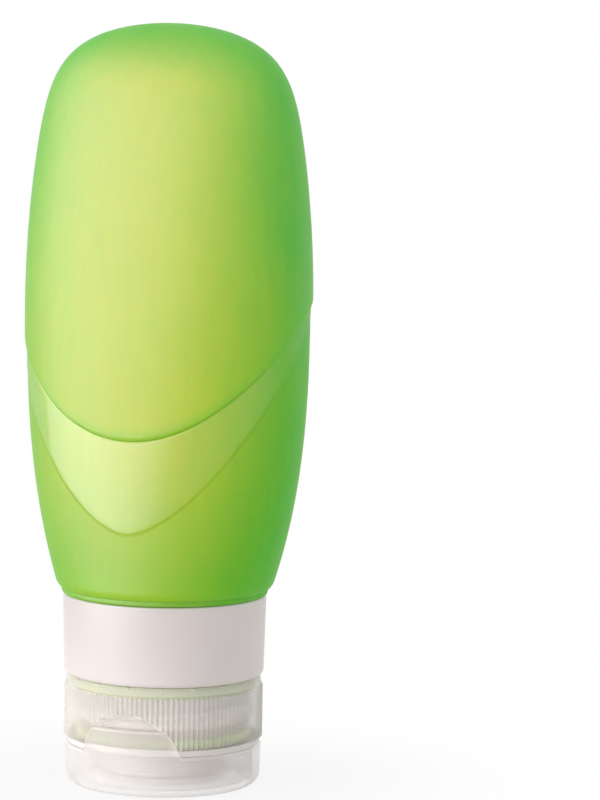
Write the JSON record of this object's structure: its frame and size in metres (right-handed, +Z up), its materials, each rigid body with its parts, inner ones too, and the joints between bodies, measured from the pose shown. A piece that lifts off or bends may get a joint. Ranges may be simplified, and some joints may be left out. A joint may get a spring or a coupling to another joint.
{
  "type": "travel silicone bottle",
  "caption": "Squeezable silicone travel bottle with a polished wrap band, suction cup on its back, rigid collar and ribbed screw cap with a valve and a flip lid it stands on.",
  "frame": {"origin": "centre of the flip lid's flat standing face", "axes": "+Z up along the bottle's axis, -Y to the front with the thumb recess, +Y to the back with the suction cup and the hinge, +X to the right seen from the front"},
  "size_m": [0.055, 0.0394, 0.142],
  "materials": {
    "soft_silicone": "matte with a polished band",
    "clear_silicone": "glossy",
    "white_plastic": "satin",
    "frosted_plastic": "frosted, see-through"
  },
  "bodies": {
    "cap": {"screw_cap": "frosted_plastic", "hinge_film": "frosted_plastic", "hinge_strap_left": "frosted_plastic", "hinge_strap_right": "frosted_plastic", "slit_valve": "soft_silicone", "valve_retainer": "frosted_plastic", "sealing_washer": "soft_silicone"},
    "lid": {"flip_lid": "frosted_plastic"},
    "collar": {"neck_collar": "white_plastic"},
    "bottle": {"bottle_shell": "soft_silicone", "suction_cup": "clear_silicone", "threaded_neck": "frosted_plastic"}
  },
  "joints": [
    {"name": "lid_hinge", "type": "hinge", "parent": "cap", "child": "lid", "pos_m": [0, 0.0188, 0.00777], "axis": [1, 0, 0], "range_deg": [0, 180], "deforming": ["hinge_film", "hinge_strap_left", "hinge_strap_right"]},
    {"name": "unscrew_lift", "type": "slide", "parent": "cap", "child": "collar", "axis": [0, 0, 1], "range_m": [0, 0.00635]},
    {"name": "bottle_turn", "type": "hinge", "parent": "collar", "child": "bottle", "pos_m": [0, 0, 0.02], "axis": [0, 0, 1], "range_deg": [0, 540]}
  ],
  "couplings": [
    {"joint": "unscrew_lift", "follows": "bottle_turn", "m_per_rad": 0.00067322}
  ]
}
